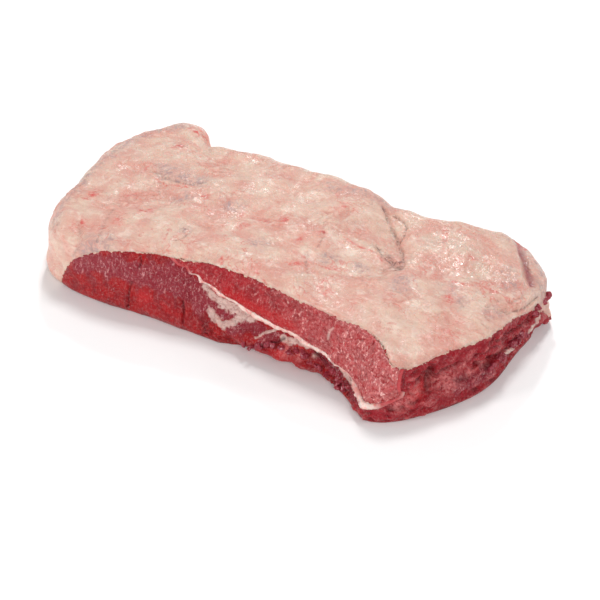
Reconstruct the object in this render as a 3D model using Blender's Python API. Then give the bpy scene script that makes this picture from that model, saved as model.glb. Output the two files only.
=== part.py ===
"""Beef flank, raw and whole: a thick slab of two muscles under one cover of fat.

The cut long side and the cut right end show the lean. The fat lies over the top and wraps down
the left end and the back. Between the muscles runs a thin white sheet of connective tissue.

Sizes are in millimetres and are turned into metres when a mesh is made. X runs along the slab,
Y from the cut face to the back, Z up from the surface that the slab lies on.
"""

import math

import bmesh
import bpy
import numpy as np
from mathutils import Matrix, Vector, noise

MM = 0.001
GAP = 0.3

# Grid of the slab's skin: cells along, across and up the walls
CELLS_LONG = 50
CELLS_WIDE = 27
CELLS_HIGH = 11
CUTTER_CELLS_LONG = 34
CUTTER_CELLS_WIDE = 20
FACING_PASSES = 14

# Stations round the slab, one row for each side, from the front left corner anticlockwise:
# x, y of the foot, how far the wall leans in, the height where the wall ends, the shoulder's width
FRONT = [
    (-136, -66, 4, 32, 20),
    (-114, -74, 4, 38, 15),
    (-86, -75, 4, 43, 12),
    (-46, -71, 8, 47, 10),
    (-5, -71, 18, 49, 9),
    (30, -69, 15, 49, 9),
    (60, -67, 10, 49, 9),
    (86, -70, 11, 48, 9),
    (106, -79, 15, 46, 9),
    (117, -85, 13, 43, 9),
]
RIGHT_END = [
    (131, -77, 3, 40, 9),
    (146, -57, 5, 41, 10),
    (157, -34, 4, 39, 12),
    (160.5, -13, 2, 38, 12),
    (158, 15, 1, 34, 13),
    (157, 41, 1, 27, 14),
]
BACK = [
    (150, 67, 3, 24, 15),
    (121, 87, 4, 29, 16),
    (90, 79, 4, 33, 20),
    (60, 70, 4, 34, 20),
    (20, 74, 4, 34, 20),
    (-42, 77, 4, 34, 20),
    (-96, 73, 4, 31, 18),
    (-111, 75, 3, 32, 14),
    (-123, 85, 3, 35, 12),
    (-137, 85, 3, 34, 13),
]
LEFT_END = [
    (-151, 71, 3, 33, 14),
    (-160, 46, 3, 33, 14),
    (-161, 15, 3, 33, 14),
    (-153, -14, 3, 32, 15),
    (-148, -45, 3, 30, 18),
]

# Height of the fat's upper face along the slab, and how much lower it lies towards the back
CREST = [
    (-165, 42), (-130, 45), (-90, 47.5), (-45, 49.5), (0, 51),
    (40, 51), (66, 49), (100, 48), (130, 43), (158, 38),
]
BACK_FALL = 2.5
HALF_WIDTH = 80

# Lumps of the fat: height and length of the broad ones and of the small ones
BROAD_LUMP = 1.8
BROAD_LENGTH = 42
SMALL_LUMP = 0.9
SMALL_LENGTH = 16

# The muscle mass under the fat. It passes through the front wall and the right end, at these
# heights along x and along y, and elsewhere the fat is outside it.
FRONT_LINE = [
    (-118, 0), (-116.5, 9), (-112.5, 18), (-106, 26), (-93, 34.5), (-79, 40.5), (-63, 44),
    (-46, 45), (0, 46), (58, 46), (98, 45), (112, 43.5), (119, 42), (126, 40.5), (133, 38), (140, 35),
]
END_LINE = [(-75, 35), (-51, 38), (-27, 37), (-7, 35.5), (10, 32), (27, 26), (42, 19), (58, 8), (66, 0)]
FRONT_SHELF = (-50, -14)
FRONT_DIP = 2.5
DIP_WIDTH = 12

# The muscle mass keeps that height as far back as this line, x and y, and dips behind it. At the
# front right corner it rises there, so that the lens comes out of the top.
SHOULDER_LINE = [
    (-120, -66), (-46, -62), (-5, -53), (30, -54), (60, -57), (84, -61), (92, -65.5), (100, -67),
    (109, -67.5), (119, -71.5), (126, -75.5), (133, -79), (150, -85),
]
SHOULDER_RISE = 5
SHOULDER_START = (90, 99)
SHOULDER_END = (127, 133)
END_SHELF = (122, 146)
FAT_DEPTH = 8
MASS_FLOOR = -10
MASS_RUN = 17

# Its sides: x, y and how far they lie under its top, where they are rounded
MASS_FRONT = [(-128, -92, 0), (-60, -95, 0), (0, -95, 0), (60, -95, 0), (110, -104, 0)]
MASS_RIGHT = [(152, -96, 0), (176, -50, 0), (180, 0, 0), (172, 45, 3)]
MASS_BACK = [
    (144, 66, 14), (120, 76, 17), (60, 62, 16), (0, 66, 16), (-60, 68, 16), (-96, 67, 17), (-126, 77, 17),
]
MASS_LEFT = [(-145, 66, 18), (-153, 42, 19), (-152, 12, 19), (-144, -16, 17), (-136, -48, 12)]

# The upper muscle: a flat lens that lies on the seam and ends at the front right corner
SEAM_LINE = [
    (-62, 50), (-45, 46), (-35, 42.5), (-26, 38), (-15, 32), (-5, 28.8), (4, 26.8), (14, 25), (25, 24),
    (37, 23.5), (49, 22.5), (58, 21), (66, 19), (74, 17), (82, 15), (91, 13.5), (104, 13), (115, 13),
    (122, 14.5), (129, 16), (140, 20),
]
SEAM_RISE = 0.2
SEAM_THICK = 1.4
LENS_OUTLINE = [
    [(-62, -100), (-20, -100), (40, -100), (95, -103)],
    [(130, -105), (132, -60), (130, 0)],
    [(128, 62), (60, 60), (0, 50)],
    [(-62, 40), (-64, -30)],
]
LENS_CEILING = 80
FRONT_Y = -75

# Relief of the cut faces
FOOT_BULGE = 2.5
FOOT_HEIGHT = 3.0
LENS_BELLY = 2.5
SEAM_GROOVE = 2.4
STEP_X = -25
STEP_PROUD = 2.2
CUT_X = -65
CUT_DEPTH = 2.5
FLAP_FROM = 2
FLAP_TO = 88
FLAP_REACH = 9.0
FLAP_HEIGHT = 12
FLAP_FALL = 0.05
FLAP_UNDERCUT = 5.0
FLAP_PITCH = 17
TIP_BULGE = 4.0
END_BAND = 2.2
END_GROOVE = 3.2
END_KNOB = 3.2
KNOB_PITCH = 23
POCKET = (-62, 27, 6.0)

# Creases of the fat: route, depth, half width. A negative depth is a ridge.
SADDLE = [(41, 66), (46, 50), (54, 37), (64, 28), (74, 18), (80, 7), (80, -8)]
SADDLE_DEPTH = 4.5
END_FOLD = [(124, 78), (133, 62), (140, 52), (148, 45), (156, 38)]
END_FOLD_DEPTH = 5.0
END_LIP = [(118, 72), (126, 62), (136, 50), (146, 38)]
END_LIP_HEIGHT = 2.5
BACK_NOTCH = [(-98, 50), (-103, 62), (-108, 84)]
BACK_NOTCH_DEPTH = 5.0
CREASE_HALF_WIDTH = 6.5


def smooth_step(value, low, high):
    share = np.clip((value - low) / (high - low), 0.0, 1.0)
    return share * share * (3.0 - 2.0 * share)


def hump(value, middle, half_width):
    return np.exp(-(((value - middle) / half_width) ** 2))


def through(points, value):
    xs, ys = zip(*points)
    return np.interp(value, xs, ys)


def crowded(count):
    """Steps from -1 to 1 that lie closer together towards both ends."""
    even = np.linspace(-1, 1, count + 1)
    return even * (1.28 - 0.28 * even**2)


def smooth_rim(sides, cells_long, cells_wide):
    """Rows of every station column at even steps along each side of a smooth closed curve."""
    rows = np.array([row for side in sides for row in side], float)
    total = len(rows)
    steps = 24
    fine = []
    for index in range(total):
        before, start, end, after = (rows[(index + k) % total] for k in (-1, 0, 1, 2))
        for t in np.arange(steps) / steps:
            fine.append(
                0.5
                * (
                    2 * start
                    + (end - before) * t
                    + (2 * before - 5 * start + 4 * end - after) * t**2
                    + (3 * start - before - 3 * end + after) * t**3
                )
            )
    fine = np.array(fine + [fine[0]])
    walked = np.concatenate([[0], np.cumsum(np.hypot(*np.diff(fine[:, :2], axis=0).T))])
    rim = []
    first = 0
    for side, cells in zip(sides, (cells_long, cells_wide, cells_long, cells_wide)):
        last = first + len(side) * steps
        shares = (crowded(cells)[:-1] + 1) / 2
        stops = walked[first] + shares * (walked[last] - walked[first])
        rim.append(np.column_stack([np.interp(stops, walked, column) for column in fine.T]))
        first = last
    return np.vstack(rim)


def outward(rim):
    """Unit normals of a closed rim that runs anticlockwise, evened out so that none cross."""
    along = np.roll(rim[:, :2], -1, axis=0) - np.roll(rim[:, :2], 1, axis=0)
    normals = np.column_stack([along[:, 1], -along[:, 0]])
    normals /= np.hypot(*normals.T)[:, None]
    for _ in range(FACING_PASSES):
        normals = (np.roll(normals, 1, axis=0) + 2 * normals + np.roll(normals, -1, axis=0)) / 4
    return normals / np.hypot(*normals.T)[:, None]


def blend_inside(ring, i, j, s, t, cells_long, cells_wide):
    """The ring's four sides blended across the patch inside it, at cell corner i, j."""
    front = ring[i]
    right = ring[cells_long + j]
    back = ring[2 * cells_long + cells_wide - i]
    left = ring[(2 * cells_long + 2 * cells_wide - j) % len(ring)]
    corners = (
        (1 - s) * (1 - t) * ring[0]
        + s * (1 - t) * ring[cells_long]
        + s * t * ring[cells_long + cells_wide]
        + (1 - s) * t * ring[2 * cells_long + cells_wide]
    )
    return (1 - t) * front + t * back + (1 - s) * left + s * right - corners


def block_mesh(name, rim, walls, cap_height, flat, cells_long, cells_wide):
    """A closed block: wall rings, a shaped cap on the last ring and a flat face on the first.

    walls is a list of rings of x, y, z. cap_height gives z from the place, the rim's values
    there and the distance in from the edge. flat is the height of the other face.
    """
    count = len(rim)
    bm = bmesh.new()
    rings = [[bm.verts.new(Vector(point) * MM) for point in ring] for ring in walls]
    edge = np.array(walls[-1])
    shares_long = (crowded(cells_long) + 1) / 2
    shares_wide = (crowded(cells_wide) + 1) / 2
    grid = {}
    for i, s in enumerate(shares_long):
        for j, t in enumerate(shares_wide):
            if i in (0, cells_long) or j in (0, cells_wide):
                continue
            x, y, edge_z = blend_inside(edge, i, j, s, t, cells_long, cells_wide)
            values = blend_inside(rim, i, j, s, t, cells_long, cells_wide)
            inward = float(np.min(np.hypot(*(edge[:, :2] - (x, y)).T)))
            z = cap_height(x, y, values, edge_z, inward)
            grid[i, j] = bm.verts.new(Vector((x, y, z)) * MM)
    for i in range(cells_long + 1):
        grid[i, 0] = rings[-1][i]
        grid[i, cells_wide] = rings[-1][2 * cells_long + cells_wide - i]
    for j in range(cells_wide + 1):
        grid[cells_long, j] = rings[-1][cells_long + j]
        grid[0, j] = rings[-1][(2 * cells_long + 2 * cells_wide - j) % count]
    # Each cell is split along the line that runs out from the middle to the corners
    for i in range(cells_long):
        for j in range(cells_wide):
            near, right, far, left = grid[i, j], grid[i + 1, j], grid[i + 1, j + 1], grid[i, j + 1]
            same_side = (2 * i + 1 - cells_long) * (2 * j + 1 - cells_wide) >= 0
            if same_side:
                bm.faces.new((near, right, far))
                bm.faces.new((near, far, left))
            else:
                bm.faces.new((near, right, left))
                bm.faces.new((right, far, left))
    for lower, upper in zip(rings, rings[1:]):
        for k in range(count):
            after = (k + 1) % count
            bm.faces.new((lower[k], lower[after], upper[after], upper[k]))
    bm.faces.new(reversed(rings[0]))
    for vert in rings[0]:
        vert.co.z = flat * MM
    bmesh.ops.triangulate(bm, faces=bm.faces, quad_method="FIXED")
    bmesh.ops.recalc_face_normals(bm, faces=bm.faces)
    mesh = bpy.data.meshes.new(name)
    bm.to_mesh(mesh)
    bm.free()
    return mesh


def seam_height(x):
    return through(SEAM_LINE, x)


def mass_edge(x, y):
    """Height at which the muscle mass comes out of the front wall or of the right end."""
    front = through(FRONT_LINE, x)
    return front + (through(END_LINE, y) - front) * smooth_step(x, *END_SHELF)


def mass_top(x, y):
    """Height of the muscle mass: under the fat inside, at its line where it meets the open sides."""
    under_fat = crest(x, y) - FAT_DEPTH
    front = 1 - smooth_step(y, *FRONT_SHELF)
    inward = y - through(SHOULDER_LINE, x)
    along = smooth_step(x, *SHOULDER_START) * (1 - smooth_step(x, *SHOULDER_END))
    shoulder = SHOULDER_RISE * along * (1 - smooth_step(inward, -2, 2))
    behind_wall = through(FRONT_LINE, x) - FRONT_DIP * smooth_step(inward, 0, DIP_WIDTH) + shoulder
    height = under_fat + (behind_wall - under_fat) * front
    return height + (through(END_LINE, y) - height) * smooth_step(x, *END_SHELF)


def front_relief(x, z):
    """How far the long cut face stands out at x, z."""
    seam = seam_height(x)
    fat_edge = mass_edge(x, FRONT_Y)
    half = max((fat_edge - seam) / 2, 0.5)
    has_lens = smooth_step(fat_edge - seam, 2, 8)
    lens = LENS_BELLY * max(0.0, 1 - ((z - seam - half) / half) ** 2) * has_lens
    groove = -SEAM_GROOVE * hump(z, seam, 2.2) * has_lens
    step = STEP_PROUD * (1 - smooth_step(x, STEP_X - 2, STEP_X + 2)) * hump(z, 18, 16)
    cut = -CUT_DEPTH * hump(x, CUT_X, 2.5) * hump(z, 14, 10)
    in_flap = smooth_step(x, FLAP_FROM, FLAP_FROM + 10) * (1 - smooth_step(x, FLAP_TO - 12, FLAP_TO))
    tatter = 0.65 + 0.35 * math.sin(2 * math.pi * x / FLAP_PITCH) * math.cos(x / 23)
    flap = FLAP_REACH * hump(z, FLAP_HEIGHT - FLAP_FALL * x, 4.5) * in_flap * tatter
    undercut = -FLAP_UNDERCUT * hump(z, 0, 6) * in_flap
    tip = TIP_BULGE * hump(z, 8, 6) * smooth_step(x, 88, 112)
    return lens + groove + step + cut + flap + undercut + tip


def end_relief(y, z, fat_edge):
    """How far the right end stands out at y, z: bands and knobs that follow the fat's edge."""
    band = END_BAND * hump(z, fat_edge - 7, 5)
    groove = -END_GROOVE * hump(z, fat_edge - 15, 3)
    knob = END_KNOB * hump(z, 0.42 * fat_edge, 4) * (0.55 + 0.45 * math.sin(2 * math.pi * y / KNOB_PITCH))
    low_groove = -0.6 * END_GROOVE * hump(z, 0.2 * fat_edge, 2.2)
    pocket_y, pocket_z, pocket_depth = POCKET
    pocket = -pocket_depth * hump(y, pocket_y, 5) * hump(z, pocket_z, 8)
    return band + groove + knob + low_groove + pocket


def lumps(x, y, z):
    broad = noise.noise(Vector((x, y, z)) / BROAD_LENGTH) * BROAD_LUMP
    small = noise.noise(Vector((x + 50, y, z)) / SMALL_LENGTH) * SMALL_LUMP
    return 2 * (broad + small)


def route_distance(route, x, y):
    here = np.array((x, y), float)
    best = 1e9
    for start, end in zip(route, route[1:]):
        a = np.array(start, float)
        b = np.array(end, float)
        share = np.clip(np.dot(here - a, b - a) / np.dot(b - a, b - a), 0, 1)
        best = min(best, float(np.hypot(*(here - a - share * (b - a)))))
    return best


def crest(x, y):
    """Height of the fat's upper face before its edges round down."""
    height = through(CREST, x) - BACK_FALL * smooth_step(y, 10, HALF_WIDTH)
    for route, depth in (
        (SADDLE, SADDLE_DEPTH),
        (END_FOLD, END_FOLD_DEPTH),
        (BACK_NOTCH, BACK_NOTCH_DEPTH),
        (END_LIP, -END_LIP_HEIGHT),
    ):
        height -= depth * hump(route_distance(route, x, y), 0, CREASE_HALF_WIDTH)
    return height


def slab_top(x, y, values, edge_z, inward):
    run = values[4]
    down = (1 - min(inward / run, 1)) ** 2
    top = crest(x, y) + lumps(x, y, 0)
    return top + (edge_z - top) * down


def slab_walls(rim):
    """Rings of the slab's wall from the foot to the shoulder, with the relief of the cut faces."""
    facing = outward(rim)
    rings = []
    for level in range(CELLS_HIGH + 1):
        ring = []
        for (x, y, lean, top, _), (nx, ny) in zip(rim, facing):
            z = top * level / CELLS_HIGH
            to_front = smooth_step(-ny, 0.3, 0.75)
            to_end = smooth_step(nx, 0.45, 0.85) * (1 - to_front)
            out = FOOT_BULGE * (1 - math.exp(-z / FOOT_HEIGHT)) - lean * z / top
            out += to_front * front_relief(x, z) * smooth_step(x, -122, -108)
            out += to_end * end_relief(y, z, mass_edge(x, y))
            out += 0.6 * lumps(x, y, z) * smooth_step(z, 0, 8)
            ring.append((x + nx * out, y + ny * out, z))
        rings.append(ring)
    return rings


def slab_mesh():
    rim = smooth_rim((FRONT, RIGHT_END, BACK, LEFT_END), CELLS_LONG, CELLS_WIDE)
    return block_mesh("slab", rim, slab_walls(rim), slab_top, 0.0, CELLS_LONG, CELLS_WIDE)


def mass_mesh(shrink):
    """The muscle mass under the fat, made smaller all round by shrink."""
    rim = smooth_rim((MASS_FRONT, MASS_RIGHT, MASS_BACK, MASS_LEFT), CUTTER_CELLS_LONG, CUTTER_CELLS_WIDE)
    facing = outward(rim)
    spots = rim[:, :2] - facing * shrink

    def top(x, y, values, edge_z, inward):
        down = values[2] * (1 - min(inward / MASS_RUN, 1)) ** 2
        return max(mass_top(x, y) - down, MASS_FLOOR + 2) - shrink

    walls = [
        [(x, y, MASS_FLOOR) for x, y in spots],
        [(x, y, top(x, y, row, 0, 0)) for (x, y), row in zip(spots, rim)],
    ]
    return block_mesh("mass", rim, walls, top, MASS_FLOOR, CUTTER_CELLS_LONG, CUTTER_CELLS_WIDE)


def lens_mesh(grow):
    """The space above the seam, made larger by grow: what it holds of the mass is the upper muscle."""
    rim = smooth_rim(LENS_OUTLINE, CUTTER_CELLS_LONG, CUTTER_CELLS_WIDE)
    facing = outward(rim)
    spots = rim[:, :2] + facing * grow

    def seam(x, y):
        return seam_height(x) + SEAM_RISE * (y - FRONT_Y) - grow

    walls = [
        [(x, y, LENS_CEILING) for x, y in spots],
        [(x, y, seam(x, y)) for x, y in spots],
    ]
    return block_mesh(
        "lens",
        rim,
        walls,
        lambda x, y, values, edge_z, inward: seam(x, y),
        LENS_CEILING,
        CUTTER_CELLS_LONG,
        CUTTER_CELLS_WIDE,
    )


def add_object(name, mesh):
    obj = bpy.data.objects.new(name, mesh)
    bpy.context.scene.collection.objects.link(obj)
    return obj


def cutter(name, mesh):
    obj = add_object(name, mesh)
    obj.hide_render = True
    obj.display_type = "WIRE"
    return obj


def material(name, colour, roughness):
    made = bpy.data.materials.new(name)
    made.use_nodes = True
    shader = made.node_tree.nodes["Principled BSDF"]
    shader.inputs["Base Color"].default_value = (*colour, 1.0)
    shader.inputs["Roughness"].default_value = roughness
    shader.inputs["Metallic"].default_value = 0.0
    return made


def layer(name, skin, cuts, finish):
    """One piece of the slab: the slab's skin cut by each cutter in turn."""
    obj = add_object(name, skin.copy())
    obj.data.name = name
    obj.data.materials.append(finish)
    for operation, tool in cuts:
        cut = obj.modifiers.new(tool.name, "BOOLEAN")
        cut.operation = operation
        cut.object = tool
        cut.solver = "EXACT"
    return obj


def centre_on_floor(objects):
    """Moves everything so that the middle of the whole slab's foot is at the origin."""
    bpy.context.view_layer.update()
    graph = bpy.context.evaluated_depsgraph_get()
    points = []
    for obj in objects:
        if obj.hide_render:
            continue
        points += [vert.co.copy() for vert in obj.evaluated_get(graph).data.vertices]
    low = [min(point[axis] for point in points) for axis in range(3)]
    high = [max(point[axis] for point in points) for axis in range(3)]
    shift = Vector((-(low[0] + high[0]) / 2, -(low[1] + high[1]) / 2, -low[2]))
    for obj in objects:
        obj.data.transform(Matrix.Translation(shift))


def build():
    for obj in list(bpy.data.objects):
        bpy.data.objects.remove(obj, do_unlink=True)
    skin = slab_mesh()
    mass = cutter("mass_guide", mass_mesh(0.0))
    mass_inside = cutter("mass_inside_guide", mass_mesh(GAP))
    lens = cutter("lens_guide", lens_mesh(0.0))
    seam_inner = cutter("seam_inner_guide", lens_mesh(GAP))
    seam_outer = cutter("seam_outer_guide", lens_mesh(GAP + SEAM_THICK))
    lens_room = cutter("lens_room_guide", lens_mesh(2 * GAP + SEAM_THICK))
    fat = material("fat", (0.78, 0.56, 0.48), 0.35)
    lean = material("lean", (0.36, 0.035, 0.045), 0.3)
    dark_lean = material("dark_lean", (0.27, 0.025, 0.04), 0.3)
    sinew = material("sinew", (0.82, 0.72, 0.68), 0.35)
    layer("fat_cover", skin, [("DIFFERENCE", mass)], fat)
    layer("upper_muscle", skin, [("INTERSECT", mass_inside), ("INTERSECT", lens)], lean)
    layer(
        "seam_membrane",
        skin,
        [("INTERSECT", mass_inside), ("INTERSECT", seam_outer), ("DIFFERENCE", seam_inner)],
        sinew,
    )
    layer("lower_muscle", skin, [("INTERSECT", mass_inside), ("DIFFERENCE", lens_room)], dark_lean)
    centre_on_floor(list(bpy.data.objects))


build()
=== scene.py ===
"""A whole raw beef flank: two muscles, the white sheet between them and the fat over them."""

import bmesh
import bpy
import numpy as np
from mathutils import Euler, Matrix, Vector, noise
from mathutils.bvhtree import BVHTree


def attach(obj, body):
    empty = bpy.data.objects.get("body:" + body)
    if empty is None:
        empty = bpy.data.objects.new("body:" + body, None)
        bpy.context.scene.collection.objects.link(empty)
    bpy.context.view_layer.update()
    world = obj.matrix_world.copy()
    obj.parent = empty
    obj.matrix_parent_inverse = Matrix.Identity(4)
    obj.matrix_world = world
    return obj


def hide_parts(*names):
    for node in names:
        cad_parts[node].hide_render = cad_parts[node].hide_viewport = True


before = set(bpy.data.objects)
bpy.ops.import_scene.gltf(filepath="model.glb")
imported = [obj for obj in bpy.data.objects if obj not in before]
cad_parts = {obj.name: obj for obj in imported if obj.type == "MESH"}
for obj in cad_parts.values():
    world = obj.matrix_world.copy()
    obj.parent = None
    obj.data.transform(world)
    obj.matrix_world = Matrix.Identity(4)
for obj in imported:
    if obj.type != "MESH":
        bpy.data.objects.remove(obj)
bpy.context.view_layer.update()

# The bench where the meat lies, the lamps over it and the camera at the photograph's angle.
# A white top that runs out of sight, one soft lamp at the back left, which gives the shadow at
# the right, a broader one in front for the cut face, and three small ones for the wet glints.
MM = 0.001
PHOTO_SIDE = 600
LENS_LENGTH = 120
SENSOR_WIDTH = 36
CAMERA_PLACE = Vector((0.606116, -0.845707, 0.717286))
CAMERA_TURN = Euler(np.radians((55.04814, 1.06738, 34.35077)).tolist())
FOCAL_PIXELS = PHOTO_SIDE * LENS_LENGTH / SENSOR_WIDTH
BENCH_SIDE = 9.0
BENCH_TOP = -0.4 * MM
BENCH_WHITE = (0.93, 0.93, 0.93, 1.0)
LAMPS = {
    "window_lamp": {"place": (-0.1, 0.55, 1.45), "side": 0.35, "power": 9.7},
    "front_lamp": {"place": (0.9, -1.0, 0.85), "side": 0.5, "power": 8.2},
    "back_glint_lamp": {"place": (-0.6, 1.0, 1.0), "side": 0.16, "power": 7.5},
    "front_glint_lamp": {"place": (-0.65, -1.2, 0.34), "side": 0.16, "power": 8.5},
    "side_glint_lamp": {"place": (1.3, 0.2, 0.5), "side": 0.16, "power": 3.6},
}
SKY_STRENGTH = 0.36


def paint(red, green, blue):
    """A screen colour, 0 to 255, as the linear colour that a shader takes."""
    shares = np.array((red, green, blue)) / 255
    linear = np.where(shares <= 0.04045, shares / 12.92, ((shares + 0.055) / 1.055) ** 2.4)
    return (*linear.tolist(), 1.0)


def link(name, data):
    made = bpy.data.objects.new(name, data)
    bpy.context.scene.collection.objects.link(made)
    return made


camera = link("camera", bpy.data.cameras.new("camera"))
camera.location = CAMERA_PLACE
camera.rotation_euler = CAMERA_TURN
camera.data.lens = LENS_LENGTH
camera.data.sensor_width = SENSOR_WIDTH
bpy.context.scene.camera = camera
bpy.context.scene.view_settings.view_transform = "Standard"

for lamp_name, lamp in LAMPS.items():
    light = bpy.data.lights.new(lamp_name, "AREA")
    light.size = lamp["side"]
    light.energy = lamp["power"]
    shade = link(lamp_name, light)
    shade.location = lamp["place"]
    shade.rotation_euler = (-Vector(lamp["place"])).to_track_quat("-Z", "Y").to_euler()

world = bpy.data.worlds.new("white_room")
world.use_nodes = True
world.node_tree.nodes["Background"].inputs["Color"].default_value = (1.0, 1.0, 1.0, 1.0)
world.node_tree.nodes["Background"].inputs["Strength"].default_value = SKY_STRENGTH
bpy.context.scene.world = world

bench_mesh = bpy.data.meshes.new("bench")
half_bench = BENCH_SIDE / 2
bench_corners = [(x * half_bench, y * half_bench, BENCH_TOP) for x, y in ((-1, -1), (1, -1), (1, 1), (-1, 1))]
bench_mesh.from_pydata(bench_corners, [], [(0, 1, 2, 3)])
bench = link("bench", bench_mesh)
bench_paint = bpy.data.materials.new("white_bench")
bench_paint.use_nodes = True
bench_paint.node_tree.nodes["Principled BSDF"].inputs["Base Color"].default_value = BENCH_WHITE
bench_paint.node_tree.nodes["Principled BSDF"].inputs["Roughness"].default_value = 0.7
bench_mesh.materials.append(bench_paint)

# The fat cover: one blanket of firm beef fat over the top, the left end and the back, left on
# when the flank was cut off the carcass. Its lobules show as soft lumps with thin creases, pink
# veins run in it, and a film of grey skin lies over it in places. It wraps the muscles.
FAT_NODE = "fat_cover"
LEAN_NODES = ("lower_muscle", "upper_muscle", "seam_membrane")
SKIN_CELL = 1.25 * MM
SKIN_PASSES = 45
SKIN_GROWTH = 0.22 * MM
MERGE_REACH = 0.02 * MM
UNDERSIDE = 0.6 * MM
FAT_CELL = 1.05 * MM
OPEN_GAP = 1.0 * MM
EDGE_RINGS = 4
HIDDEN_KEEP = 0.08
SNAP_REACH = 3.5 * MM
COVER_REACH = 6 * MM
COVER_LIFT = 0.1 * MM
COVER_LEAST = 0.9 * MM
JOIN_REACH = 1.6 * MM
JOIN_DEPTH = 1.8 * MM
JOIN_SHARE = 0.85
OVERLAP = 0.25 * MM
EDGE_START = 0.4 * MM
EDGE_EASE = 2.4 * MM
FLOOR_START = 0.5 * MM
BORDER_REACH = 4 * MM
BORDER_JAG = 1.3
LOBULE_SIZE = 10.5 * MM
LOBULE_CREASE = 0.7 * MM
LOBULE_WARP = 4.5 * MM
FAT_ROLL = 0.75 * MM
FAT_GRAIN = 0.2 * MM
FAT_FLOOR_EASE = 5 * MM
WRINKLE_RISE = 0.42 * MM
CREASE_SHADE = 0.75
CREASE_DARKEST = 1.6
HIDDEN_SIDE = (60 * MM, 80 * MM)

# Places on the fat, as photograph pixels with a radius in millimetres
ROSE_SPOTS = [
    (91, 195, 5), (98, 190, 3), (150, 168, 4), (131, 195, 4), (185, 186, 4), (204, 195, 4), (146, 209, 4),
    (118, 221, 4), (284, 219, 5), (243, 226, 4), (301, 239, 3), (264, 221, 3), (321, 231, 3), (203, 134, 5),
    (355, 302, 2), (446, 300, 4), (327, 292, 4), (196, 132, 4), (79, 224, 4), (345, 206, 1.5), (238, 190, 2),
    (372, 340, 3), (180, 147, 4), (222, 262, 3), (262, 263, 3), (296, 262, 4), (470, 258, 3), (486, 285, 4),
]
GREY_SPOTS = [
    (170, 172, 8), (182, 177, 7), (160, 168, 5), (200, 180, 7), (184, 198, 6), (185, 231, 4), (94, 244, 9),
    (108, 240, 7), (84, 250, 5), (404, 281, 7), (398, 287, 6), (450, 290, 6), (512, 282, 7), (508, 274, 5),
    (492, 312, 6), (462, 300, 5), (330, 258, 5), (232, 205, 6), (258, 243, 6), (360, 268, 5),
]
# Crevices in the fat, painted darker as painted shade.
SHADED_CREVICES = [(394, 265, 5), (388, 257, 3.5), (400, 268, 3), (181, 207, 1.2), (185, 229, 2), (380, 249, 3)]
VEINS = [
    [(443, 230), (444, 240), (443, 253)],
    [(446.5, 230), (447, 242)],
    [(155, 178), (166, 184), (176, 185), (187, 187)],
    [(345, 236), (356, 246), (372, 252), (382, 262)],
    [(252, 268), (262, 276), (268, 289)],
    [(300, 254), (312, 262), (330, 268), (347, 271)],
    [(452, 282), (466, 286), (482, 287), (496, 292)],
]
CREASES = [
    ([(384, 207), (388, 221), (392, 230), (397, 241), (402, 254), (404, 265)], 1.7, 1.3),
    ([(394, 216), (404, 222), (407, 228), (404, 236), (398, 243)], 1.4, 1.1),
    ([(378, 246), (383, 254), (391, 262), (401, 268)], 1.9, 2.0),
    ([(152, 172), (163, 176), (175, 180), (188, 183), (203, 182)], 0.9, 1.6),
    ([(175, 239), (183, 236), (190, 232)], 1.0, 1.2),
    ([(307, 252), (306, 262), (308, 273)], 0.8, 1.0),
    ([(113, 208), (104, 224), (98, 240), (92, 250)], 0.6, 2.2),
    ([(78, 222), (80, 232), (79, 246), (73, 256)], 0.8, 2.0),
    ([(324, 222), (324, 236), (318, 246)], 0.7, 1.1),
    ([(484, 306), (496, 310), (508, 311)], 1.1, 0.8),
    ([(508, 313), (520, 310), (531, 303), (538, 297)], 1.3, 0.9),
    ([(497, 300), (512, 303), (524, 298)], 0.9, 0.8),
]
RIDGES = [
    ([(514, 247), (518, 262), (520, 276), (521, 291), (516, 302)], 1.6, 2.4),
    ([(63, 226), (66, 240), (66, 254)], 1.6, 3.6),
    ([(487, 303), (500, 307), (512, 307), (524, 302), (532, 294)], 1.2, 1.3),
    ([(493, 311), (508, 315), (522, 312), (534, 304)], 0.9, 1.0),
    ([(160, 180), (174, 183), (187, 184)], 0.7, 1.6),
]
PURPLE_FOLD = [(520, 243), (521, 253), (524, 263), (528, 273), (533, 284)]
PURPLE_DEPTH = 1.7 * MM
PURPLE_WIDTH = 2.6 * MM
GREY_FILMS = [
    ([(54, 226), (60, 208), (86, 177), (129, 141), (160, 128), (186, 127)], 4.5, 0.85),
    ([(330, 168), (364, 186), (396, 205), (420, 213), (450, 219), (490, 230), (520, 241)], 5.5, 0.8),
    ([(527, 243), (534, 256), (541, 270), (548, 284), (542, 291)], 8.0, 1.0),
]
SHINE_PATCH = [(446, 252), (466, 262), (486, 272), (500, 280)]
SHINE_WIDTH = 19 * MM
VEIN_WIDTH = 0.9 * MM


def smooth_step(value, low, high):
    share = np.clip((value - low) / (high - low), 0.0, 1.0)
    return share * share * (3.0 - 2.0 * share)


def places_of(mesh):
    places = np.empty(len(mesh.vertices) * 3, np.float32)
    mesh.vertices.foreach_get("co", places)
    return places.reshape(-1, 3).astype(float)


def normals_of(mesh):
    normals = np.empty(len(mesh.vertices) * 3, np.float32)
    mesh.vertex_normals.foreach_get("vector", normals)
    return normals.reshape(-1, 3).astype(float)


def pairs_of(mesh):
    pairs = np.empty(len(mesh.edges) * 2, np.int32)
    mesh.edges.foreach_get("vertices", pairs)
    return pairs.reshape(-1, 2)


def put_places(mesh, places):
    mesh.vertices.foreach_set("co", places.astype(np.float32).ravel())
    mesh.update()


def put_values(mesh, name, values):
    layer = mesh.attributes.new(name, "FLOAT", "POINT")
    layer.data.foreach_set("value", np.clip(values, 0, 1).astype(np.float32))


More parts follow.
